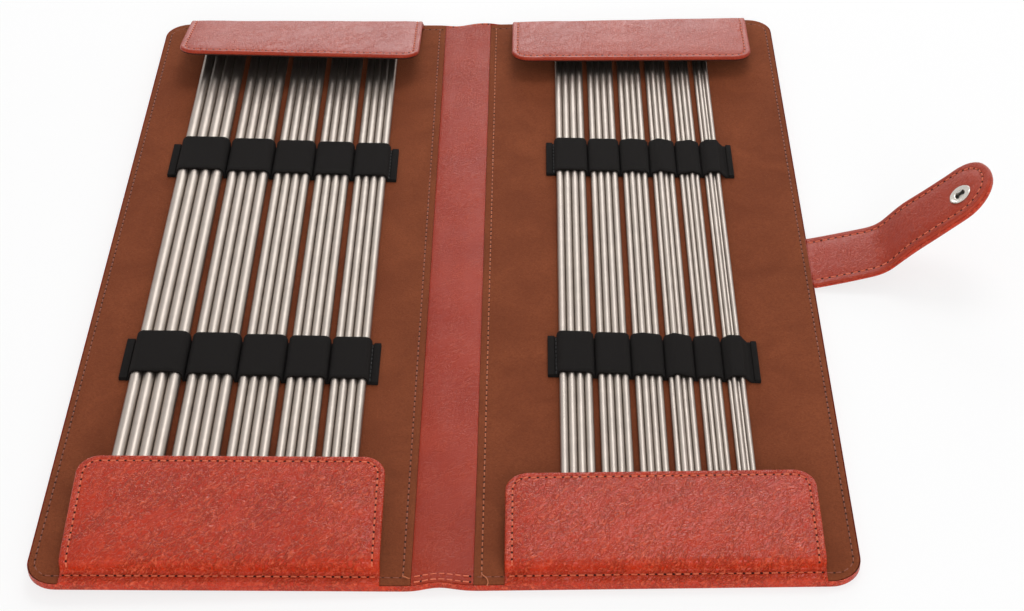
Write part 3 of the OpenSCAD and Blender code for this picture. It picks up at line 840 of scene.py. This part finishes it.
FLAP_FACTS = {
    # reach from the case's end, rise of the fold, slope, raise and twist across the width
    ("left", "bottom"): (54.8, 5.8, 4.5, 2.7, 0.0),
    ("left", "top"): (54, 5.8, 4.5, 6.8, 2.4),
    ("right", "bottom"): (50, 4.6, 2.7, 0.5, 0.0),
    ("right", "top"): (50, 4.6, 2.7, 3.3, -1.8),
}
HEM = 5.0
FLAP_SEAM = 2.7
HEM_ROW = -1.5
# Lengths past the hem between which the flap's leather turns when it is opened
FLAP_TURNS = (-0.9, 3.0)


CREASE_SLOPE = math.radians(58)


def bezier(a, b, c, d, count=20):
    """Points on a curve from a to d that leaves towards b and arrives from c."""
    return [
        a * (1 - t) ** 3 + b * 3 * t * (1 - t) ** 2 + c * 3 * t * t * (1 - t) + d * t ** 3
        for t in (i / count for i in range(count + 1))]


class FlapShape:
    """Bends a flat flap, drawn with its hinge line along X at y 0, into its place."""

    def __init__(self, side, end):
        reach, rise, slope, lift, self.twist = FLAP_FACTS[side, end]
        self.side, self.end = side, end
        self.stiff = (reach - HEM - FOLD_RUN) / math.cos(math.radians(slope))
        angle = math.radians(lift)
        self.slope = math.radians(slope + lift)
        past = 2.5
        corner = Vector((
            FOLD_RUN * math.cos(angle) - rise * math.sin(angle),
            FOLD_RUN * math.sin(angle) + rise * math.cos(angle)))
        ahead = Vector((math.cos(self.slope), math.sin(self.slope)))
        self.flat_to = -0.8
        foot, panel = Vector((self.flat_to, 0)), corner + ahead * past
        crease = Vector((1.0, 0.72 * rise + 0.3))
        leaving = Vector((math.cos(CREASE_SLOPE), math.sin(CREASE_SLOPE)))
        self.curve = (
            bezier(foot, foot + Vector((1.5, 0)), crease - leaving * 2.2, crease)[:-1]
            + bezier(crease, crease + leaving * 0.5, panel - ahead * 7, panel))
        self.lengths = [0.0]
        for p, q in zip(self.curve, self.curve[1:]):
            self.lengths.append(self.lengths[-1] + (q - p).length)
        self.bend_end = self.flat_to + self.lengths[-1]
        self.stiff_from = self.bend_end - past
        self.length = self.stiff_from + self.stiff

    def line(self, s):
        """The flap's upper side at a length s past the hinge: place and direction."""
        if s <= self.flat_to:
            return Vector((s, 0)), Vector((1, 0))
        if s >= self.bend_end:
            ahead = Vector((math.cos(self.slope), math.sin(self.slope)))
            return self.curve[-1] + ahead * (s - self.bend_end), ahead
        way = s - self.flat_to
        i = next(k for k, length in enumerate(self.lengths) if length >= way)
        i = max(1, i)
        share = (way - self.lengths[i - 1]) / (self.lengths[i] - self.lengths[i - 1])
        p, q = self.curve[i - 1], self.curve[i]
        before = (q - self.curve[max(0, i - 2)]).normalized()
        after = (self.curve[min(len(self.curve) - 1, i + 1)] - p).normalized()
        return p.lerp(q, share), before.lerp(after, share).normalized()

    def place(self, point):
        """point: x across the flap, y along it, z above its upper side."""
        at, ahead = self.line(point.y)
        y = at.x - point.z * ahead.y
        z = at.y + point.z * ahead.x
        share = shelf(point.y, 4, self.length)
        z += self.twist * share * (point.x - (FLAP_X0 + FLAP_X1) / 2) / (FLAP_X1 - FLAP_X0)
        y -= FLAP_HINGE_Y
        placed = Vector((point.x, y if self.end == "bottom" else -y, HEM_Z + z))
        return placed


def flap_plate(shape, start, inset, top, bottom):
    return flat_plate(
        FLAP_X0 + inset, FLAP_X1 - inset, start, shape.length - inset, bottom, top,
        [0, 0, FLAP_R - inset, FLAP_R - inset])


def place_on_side(bm, shape):
    move_points(bm, shape.place)
    to_side(bm, shape.side)


def flap_leather(shape, name):
    """The leather of hem, fold and panel in one, drawn in at its seams and at the crease."""
    side, end = shape.side, shape.end
    hem_end = -HEM - 0.15
    bm = flap_plate(shape, hem_end, 0, 0, -FLAP_SKIN_T)
    round_over(bm, level_edges(bm, 0), 0.85, 5)
    round_over(bm, level_edges(bm, -FLAP_SKIN_T), 0.35, 2)
    ring(bm, [FLAP_SEAM - 0.85 - 0.9, 0.45, 0.45, 0.45, 0.45])
    cut(bm, 0, steps(FLAP_X0 + 9, FLAP_X1 - 9, 7))
    cut(bm, 1, [hem_end + 0.9, -3.6] + [HEM_ROW + d for d in (-0.9, -0.45, 0, 0.45)]
        + steps(-0.8, shape.bend_end, 0.42)
        + steps(shape.bend_end + 3, shape.length - FLAP_SEAM - 5, 5))
    lip_t = HEM_Z - LINING_Z + 0.1

    def soften(point):
        x, s, h = point
        if h < -0.9:
            thin = FLAP_FOLD_T + (FLAP_SKIN_T - FLAP_FOLD_T) * shelf(
                s, shape.stiff_from - 1.5, shape.stiff_from + 0.5)
            if s < 0:
                thin = HEM_Z - TOP_Z
            if s < hem_end + 0.95:
                thin = lip_t
            return Vector((x, s, h * thin / FLAP_SKIN_T))
        depth = depth_in(min(x - FLAP_X0, FLAP_X1 - x), shape.length - s, FLAP_R)
        gap = abs(depth - FLAP_SEAM)
        if s < HEM_ROW + 0.5:
            gap = abs(s - HEM_ROW)
        within = depth - FLAP_SEAM
        pad = 0.4 * shelf(within, 0.4, 11) * shelf(s, 6, 18)
        ripple = 0.2 * noise.noise(Vector((x / 15, s / 9, 2.2 if side == "left" else 5.9)))
        ragged = 0.1 * noise.noise(Vector((x / 2.5, s / 2.5, 9.1))) * shelf(s, -6, -0.5)
        rise = pad + ripple * shelf(within, 0, 6) + ragged * (1 - shelf(s, 0, 3))
        return Vector((x, s, h + rise - groove(gap, 0.26, 0.9)))

    move_points(bm, soften)
    place_on_side(bm, shape)
    finish = RED if end == "bottom" else TOP_FLAP_SHADED_RED
    leather = finish_piece(f"{name}_leather", bm, [finish], sharp=60)
    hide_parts(f"{side}_{end}_hem", f"{name}_fold", f"{name}_skin")
    turn_with_fold(leather, shape)


def turn_with_fold(piece, shape):
    """Bakes the piece's place into its mesh; the points where the flap turns are worked out but not used."""
    for s in FLAP_TURNS:
        point = shape.place(Vector((80, s, 0)))
        if shape.side == "left":
            point = lean(point)
    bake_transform(piece)


def flap_inside(shape, name):
    """The board in the flap and the cloth on its underside."""
    side = shape.side
    board_top, board_low = -0.75, -1.5
    bm = flap_plate(shape, shape.stiff_from + 1.5, 2.2, board_top, board_low)
    cut(bm, 0, steps(FLAP_X0 + 8, FLAP_X1 - 8, 12))
    cut(bm, 1, steps(shape.stiff_from + 2, shape.length - 5, 4))
    place_on_side(bm, shape)
    piece = finish_piece(f"{name}_stiff_board", bm, [BOARD])
    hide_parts(f"{name}_board")
    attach(piece, name)

    under_low = -FLAP_SKIN_T - FLAP_UNDER_T
    bm = flap_plate(shape, shape.stiff_from + 0.6, 0.3, -FLAP_SKIN_T, under_low)
    round_over(bm, level_edges(bm, under_low), 0.3, 2)
    cut(bm, 0, steps(FLAP_X0 + 8, FLAP_X1 - 8, 12))
    cut(bm, 1, steps(shape.stiff_from + 1, shape.bend_end + 1, 0.8)
        + steps(shape.bend_end + 4, shape.length - 5, 8))
    place_on_side(bm, shape)
    piece = finish_piece(f"{name}_underside", bm, [UNDERSIDE])
    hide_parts(f"{name}_backing")
    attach(piece, name)


def flap_stitches(shape, name):
    """One row round the flap's three free edges, and one across the hem."""
    x0, x1, r = FLAP_X0 + FLAP_SEAM, FLAP_X1 - FLAP_SEAM, FLAP_R - FLAP_SEAM
    far = shape.length - FLAP_SEAM
    border = (
        [(x0, 2.2, 0)] + arc(x0 + r, far - r, r, 180, 90) + arc(x1 - r, far - r, r, 90, 0)
        + [(x1, 2.2, 0)])
    hem = [(FLAP_X0 + 1, HEM_ROW, 0), (FLAP_X1 - 1, HEM_ROW, 0)]
    bm = sew(bmesh.new(), border, -0.17, seed=21)
    place_on_side(bm, shape)
    turn_with_fold(finish_piece(f"{name}_stitches", bm, [FLAP_THREAD, HOLE_SHADE]), shape)
    bm = sew(bmesh.new(), hem, -0.17, seed=22)
    place_on_side(bm, shape)
    piece = finish_piece(f"{shape.side}_{shape.end}_hem_stitches", bm, [FLAP_THREAD, HOLE_SHADE])
    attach(piece, f"{shape.side}_cover")


def flap(side, end):
    shape = FlapShape(side, end)
    name = f"{side}_{end}_flap"
    flap_leather(shape, name)
    flap_inside(shape, name)
    flap_stitches(shape, name)


# Strap

STRAP_Y = joint_place("strap_root_bend").y
STRAP_X = joint_place("strap_root_bend").x
STRAP_Z = joint_place("strap_root_bend").z
STRAP_HALF = (high("strap_base_inner").y - low("strap_base_inner").y) / 2
STRAP_BASE = (joint_place("strap_tip_bend") - joint_place("strap_root_bend")).length
STRAP_SLOPE = math.radians(12)
STRAP_BEND = math.radians(27.5)
STRAP_TIP = 55.4
STRAP_ROOT = 3.5
STRAP_LAYER = 0.9
STRAP_SEAM = 3.3
STRAP_LIFT = 1.4
STRAP_TURN = 6.5
STRAP_THICK = 2 * STRAP_LAYER + 0.4
# The snap's place along and across the strap, and how deep the leather is hollowed under it
SNAP_AT = STRAP_BASE + 41
SNAP_Y = -2.5
SNAP_HOLLOW = 1.5


def strap_angle(s):
    """Slope of the strap's inner face at a length s past the cover's edge."""
    root = STRAP_SLOPE * shelf(s, -1.5, 2.5)
    return root + STRAP_BEND * shelf(s, STRAP_BASE - STRAP_TURN, STRAP_BASE + STRAP_TURN)


STRAP_STEP = 0.25
STRAP_LINE = [Vector((STRAP_X - STRAP_ROOT, STRAP_Z))]
while len(STRAP_LINE) * STRAP_STEP < STRAP_ROOT + STRAP_BASE + STRAP_TIP + 2:
    slope = strap_angle((len(STRAP_LINE) - 0.5) * STRAP_STEP - STRAP_ROOT)
    STRAP_LINE.append(
        STRAP_LINE[-1] + STRAP_STEP * Vector((math.cos(slope), math.sin(slope))))


def on_strap(point):
    """point: x along the strap, y across it, z above its inner face."""
    way = (point.x + STRAP_ROOT) / STRAP_STEP
    i = min(len(STRAP_LINE) - 2, max(0, int(way)))
    at = STRAP_LINE[i].lerp(STRAP_LINE[i + 1], way - i)
    slope = strap_angle(point.x)
    thick = 1 + min(0, point.z / STRAP_THICK)
    with_cap = shelf(point.x, STRAP_BASE - 4, STRAP_BASE + 12)
    lift = STRAP_LIFT * shelf(point.x, STRAP_BASE - 1, STRAP_BASE + 18)
    lift *= 1 - with_cap * (1 - thick)
    bow = 0.5 * math.exp(-((point.x - STRAP_BASE - 13) / 10) ** 2)
    height = point.z + lift + bow
    sway = 0.3 + 2.5 * shelf(point.x, 4, 72) + 1.6 * shelf(point.x, STRAP_BASE + 36, STRAP_BASE + 57)
    taper = 1.04 - 0.07 * shelf(point.x, 8, 66)
    return Vector((
        at.x - height * math.sin(slope), STRAP_Y + sway + point.y * taper,
        at.y + height * math.cos(slope)))


def strap_layer(top, bottom, inset, round_top, round_bottom, pad):
    """One leather layer of the strap, flat, with its stitched border drawn in."""
    r = STRAP_HALF - inset - 0.8
    bm = flat_plate(
        -STRAP_ROOT, STRAP_BASE + STRAP_TIP - inset, inset - STRAP_HALF, STRAP_HALF - inset,
        bottom, top, [0, r, r, 0])
    keep = (lambda middle: middle.x > 0.1 - STRAP_ROOT)
    round_over(bm, level_edges(bm, top, keep), round_top, 4)
    round_over(bm, level_edges(bm, bottom, keep), round_bottom, 4)
    seam_y = STRAP_HALF - STRAP_SEAM
    if round_bottom > round_top:
        bmesh.ops.scale(bm, vec=(1, 1, -1), verts=bm.verts)
    ring(bm, [STRAP_SEAM - inset - max(round_top, round_bottom) - 0.8] + [0.4] * 4)
    if round_bottom > round_top:
        bmesh.ops.scale(bm, vec=(1, 1, -1), verts=bm.verts)
    cut(bm, 0, steps(-2.5, 4, 0.5) + steps(6, STRAP_BASE - STRAP_TURN - 2, 3)
        + steps(STRAP_BASE - STRAP_TURN, STRAP_BASE + STRAP_TURN, 0.75)
        + steps(STRAP_BASE + STRAP_TURN + 3, STRAP_BASE + STRAP_TIP - STRAP_HALF, 3))
    cut(bm, 1, [-6, -3, 0, 3, 6])
    if top == 0:
        cut(bm, 0, [SNAP_AT + d for d in (-4.4, -3.4, -2.4, -1.2, 0, 1.2, 2.4, 3.4, 4.4)])
        cut(bm, 1, [SNAP_Y + d for d in (-4.4, -3.4, -2.4, -1.2, 0, 1.2, 2.4, 3.4, 4.4)])

    def soften(point):
        x, y, z = point
        if top == 0 and abs(z) < 0.02:
            z -= SNAP_HOLLOW * (1 - shelf(math.hypot(x - SNAP_AT, y - SNAP_Y), 2.5, 4.3))
        centre = STRAP_BASE + STRAP_TIP - STRAP_HALF
        out = math.hypot(max(0, x - centre), y)
        gap = abs(out - seam_y)
        sunk = groove(gap, 0.2, 0.8) - pad * shelf(seam_y - out, 0, 7)
        if abs(point.z - top) < 0.02 and round_top > 0.3:
            z -= sunk
        if abs(point.z - bottom) < 0.02 and round_bottom > 0.3:
            z += sunk
        return Vector((x, y, z))

    move_points(bm, soften)
    return bm


def strap_pieces():
    """The strap is two pieces of each layer, which meet in the middle of its first stretch."""
    meet = STRAP_BASE / 2
    layers = {
        "inner": (0, -STRAP_LAYER, 0.15, 0.6, 0.2, 0.25),
        "outer": (-STRAP_LAYER, -STRAP_THICK, 0.0, 0.2, 0.8, 0.3),
    }
    seam = STRAP_HALF - STRAP_SEAM
    centre = STRAP_BASE + STRAP_TIP - STRAP_HALF
    border = (
        [(0.5, -seam, 0)] + arc(centre, 0, seam, -90, 90, 20) + [(0.5, seam, 0)])

    def stitches(height):
        return sew(bmesh.new(), border, height, seed=31)

    for layer, facts in layers.items():
        facing = 0 if layer == "inner" else facts[1]
        sunk = -0.1 if layer == "inner" else 0.1
        for part, sign in (("root", 1), ("tip", -1)):
            for kind in ("leather", "stitches"):
                if kind == "leather":
                    bm = strap_layer(*facts)
                    finishes, slot = [SMOOTH_RED if layer == "inner" else RED], "red_leather"
                else:
                    bm = stitches(facing + sunk)
                    finishes, slot = [FLAP_THREAD, HOLE_SHADE], None
                bmesh.ops.bisect_plane(
                    bm, geom=bm.verts[:] + bm.edges[:] + bm.faces[:], plane_co=(meet, 0, 0),
                    plane_no=(sign, 0, 0), clear_outer=True)
                bmesh.ops.holes_fill(bm, edges=[e for e in bm.edges if e.is_boundary], sides=0)
                move_points(bm, on_strap)
                piece = finish_piece(
                    f"strap_{part}_{layer}_{kind}", bm, finishes, sharp=50)
                if kind == "leather":
                    body = "base" if part == "root" else "tip"
                    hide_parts(f"strap_{body}_{layer}")
                if part == "root":
                    start, stop = on_strap(Vector((-1.5, 0, 0))), on_strap(Vector((2.5, 0, 0)))
                else:
                    start = on_strap(Vector((STRAP_BASE - STRAP_TURN, 0, 0)))
                    stop = on_strap(Vector((STRAP_BASE + STRAP_TURN, 0, 0)))
                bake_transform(piece)


def strap_stiffener():
    """The firm sheet between the strap's two layers, out to its round end."""
    inset = 2.5
    r = STRAP_HALF - inset - 0.8
    bm = flat_plate(
        STRAP_BASE + STRAP_TURN + 2, STRAP_BASE + STRAP_TIP - inset, inset - STRAP_HALF,
        STRAP_HALF - inset, -STRAP_LAYER - 0.2, -STRAP_LAYER + 0.2, [0, r, r, 0])
    cut(bm, 0, steps(STRAP_BASE + STRAP_TURN + 5, STRAP_BASE + STRAP_TIP - 18, 4))
    cut(bm, 1, [-6, 0, 6])
    move_points(bm, on_strap)
    piece = finish_piece("strap_stiffener_sheet", bm, [BOARD])
    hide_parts("strap_tip_stiffener")
    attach(piece, "strap_tip")


def snap_place():
    """Where the press stud's socket sits on the strap's inner face, and how it is turned."""
    box_low, box_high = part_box("snap_socket")
    turn = Matrix.Rotation(-STRAP_SLOPE - STRAP_BEND, 4, "Y")
    half_height = 1.1
    centre = (box_low + box_high) / 2 / MM - turn @ Vector((0, 0, half_height))
    return Matrix.Translation(centre) @ turn


def snap_socket():
    """The socket: a thin rolled ring, a dished face and a mouth with two spring bars, whose floor is painted
    black as shade.
    """
    mouth, rim = 2.3, 4.9
    profile = [
        (0, 0.3), (mouth - 0.1, 0.3), (mouth, 1.9), (mouth + 0.25, 2.1), (rim - 1.2, 2.0),
        (rim - 0.8, 2.2), (rim - 0.3, 2.2), (rim, 1.9), (rim, 0.1), (0, 0.1)]
    bm = bmesh.new()
    points = [bm.verts.new((r, 0, z)) for r, z in profile]
    edges = [bm.edges.new(pair) for pair in zip(points, points[1:])]
    bmesh.ops.spin(
        bm, geom=points + edges, cent=(0, 0, 0), axis=(0, 0, 1), dvec=(0, 0, 0),
        angle=math.tau, steps=48, use_merge=True, use_duplicate=False)
    bmesh.ops.remove_doubles(bm, verts=bm.verts, dist=1e-3)
    for face in bm.faces:
        # Faces on the mouth's floor get the black finish: painted shade inside the socket.
        middle = face.calc_center_median()
        inside = math.hypot(middle.x, middle.y) < mouth - 0.1 and middle.z > 0.2
        face.material_index = 1 if inside else 0
    bmesh.ops.transform(bm, matrix=snap_place(), verts=bm.verts)
    piece = finish_piece("snap_socket_ring", bm, [NICKEL, BLACK_THREAD], sharp=40)
    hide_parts("snap_socket")
    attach(piece, "strap_tip")

    bars = bmesh.new()
    for side in (-1, 1):
        size = Matrix.Diagonal((3.4, 0.5, 0.5, 1))
        bmesh.ops.create_cube(
            bars, size=1, matrix=Matrix.Translation((0, 2.2 * side, 1.5)) @ size)
    round_over(bars, bars.edges[:], 0.2, 3)
    bmesh.ops.transform(bars, matrix=snap_place(), verts=bars.verts)
    piece = finish_piece("snap_spring_bars", bars, [SPRING], sharp=50)
    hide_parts("snap_spring")
    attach(piece, "strap_tip")


# Making everything

for side in ("left", "right"):
    case_half(side)
    lining(side)
    for row in ("lower", "upper"):
        band(side, row)
    for end in ("bottom", "top"):
        flap(side, end)
spine_board()
spine_strip()
strap_pieces()
strap_stiffener()
snap_socket()
SEAM_END_Y = END_SEAM - LINING_Y
thread_end("right", bent_line([
    Vector((SPINE_SEAM_X + dx, SEAM_END_Y + dy, TOP_Z + dz))
    for dx, dy, dz in ((0, 2.5, -0.2), (0.3, 0.5, 0.5), (1.8, -1.2, 0.7), (2.4, -3.0, 0.4), (2.0, -4.4, 0.1))
]))
thread_end("left", bent_line([
    Vector((SPINE_SEAM_X + dx, SEAM_END_Y + dy, TOP_Z + dz))
    for dx, dy, dz in ((0, 1.5, -0.2), (0.2, 0.4, 0.3), (-0.9, -0.1, 0.5), (-1.8, -0.4, 0.1), (-2.5, -0.2, -0.1))
]))

CARRIED = {
    "_board": BOARD, "_padding": FOAM, "_stiffener": BOARD, "snap_spring": SPRING,
    "snap_": NICKEL, "needles_": STEEL,
}
for name, node in frame["nodes"].items():
    for word, finish in CARRIED.items():
        if word in name:
            node.data.materials.clear()
            node.data.materials.append(finish)
            break


# Floor, light and camera

def floor():
    bm = bmesh.new()
    bmesh.ops.create_grid(bm, x_segments=2, y_segments=2, size=6)
    mesh = bpy.data.meshes.new("floor")
    bm.to_mesh(mesh)
    bm.free()
    piece = bpy.data.objects.new("floor", mesh)
    bpy.context.scene.collection.objects.link(piece)
    f = Finish("floor", Roughness=0.8)
    f.shader.inputs["Base Color"].default_value = (0.9, 0.9, 0.9, 1)
    glow = f.node("Emission", {"Strength": 1.0})
    path = f.node("LightPath").outputs
    mirrored = f.math("MAXIMUM", path["Is Glossy Ray"], path["Is Transmission Ray"])
    share = f.math("MULTIPLY", f.math("MAXIMUM", path["Is Camera Ray"], mirrored), 0.75)
    blend = f.node("MixShader", {0: share, 1: f.shader.outputs[0], 2: glow.outputs[0]})
    output = next(n for n in f.nodes if n.type == "OUTPUT_MATERIAL")
    f.links.new(blend.outputs[0], output.inputs["Surface"])
    mesh.materials.append(f.material)


def world():
    sky = bpy.data.worlds.new("studio")
    bpy.context.scene.world = sky
    sky.use_nodes = True
    nodes, links = sky.node_tree.nodes, sky.node_tree.links
    back = nodes["Background"]
    direction = nodes.new("ShaderNodeTexCoord").outputs["Generated"]
    split = nodes.new("ShaderNodeSeparateXYZ")
    links.new(direction, split.inputs[0])
    ramp = nodes.new("ShaderNodeValToRGB")
    links.new(split.outputs["Z"], ramp.inputs[0])
    ramp.color_ramp.elements[0].position = 0.0
    ramp.color_ramp.elements[0].color = (1.1, 1.1, 1.1, 1)
    ramp.color_ramp.elements[1].position = 0.6
    ramp.color_ramp.elements[1].color = (0.46, 0.46, 0.46, 1)
    path = nodes.new("ShaderNodeLightPath")
    seen = path.outputs["Is Camera Ray"]
    for ray in ("Is Glossy Ray", "Is Transmission Ray"):
        either = nodes.new("ShaderNodeMath")
        either.operation = "MAXIMUM"
        links.new(seen, either.inputs[0])
        links.new(path.outputs[ray], either.inputs[1])
        seen = either.outputs[0]
    mix = nodes.new("ShaderNodeMix")
    mix.data_type = "RGBA"
    links.new(seen, mix.inputs[0])
    links.new(ramp.outputs[0], mix.inputs[6])
    mix.inputs[7].default_value = (1, 1, 1, 1)
    links.new(mix.outputs[2], back.inputs["Color"])
    back.inputs["Strength"].default_value = 1.0


def lamp(name, place, aim, size, watts):
    light = bpy.data.lights.new(name, "AREA")
    light.shape = "DISK"
    light.size = size
    light.energy = watts
    lamp_object = bpy.data.objects.new(name, light)
    lamp_object.location = place
    lamp_object.rotation_euler = (Vector(aim) - Vector(place)).to_track_quat("-Z", "Y").to_euler()
    bpy.context.scene.collection.objects.link(lamp_object)


def camera():
    """The photograph's view: seen from in front and above, turned a little about its axis."""
    place = Vector((0.0430, -0.7132, 0.5406))
    pitch, yaw, roll = (math.radians(a) for a in (38.30, 1.64, -1.88))
    image_width, focal_pixels, sensor = 1024, 2099, 36
    ahead = Vector((
        -math.sin(yaw) * math.cos(pitch), math.cos(yaw) * math.cos(pitch), -math.sin(pitch)))
    level = Vector((math.cos(yaw), math.sin(yaw), 0))
    up = level.cross(ahead)
    right = level * math.cos(roll) + up * math.sin(roll)
    top = up * math.cos(roll) - level * math.sin(roll)
    data = bpy.data.cameras.new("camera")
    data.sensor_width = sensor
    data.lens = focal_pixels / image_width * sensor
    data.clip_start, data.clip_end = 0.01, 50
    seen_from = bpy.data.objects.new("camera", data)
    turn = Matrix((right, top, -ahead)).transposed().to_4x4()
    seen_from.matrix_world = Matrix.Translation(place) @ turn
    bpy.context.scene.collection.objects.link(seen_from)
    bpy.context.scene.camera = seen_from


floor()
world()
lamp("key", (0.3, 1.0, 1.7), (0, 0, 0), 1.0, 12)
lamp("front", (0.4, -1.9, 0.8), (0, 0, 0), 1.2, 20)
lamp("back", (0.1, 2.4, 0.75), (0, 0, 0), 1.5, 20)
camera()
bpy.context.scene.view_settings.view_transform = "Standard"
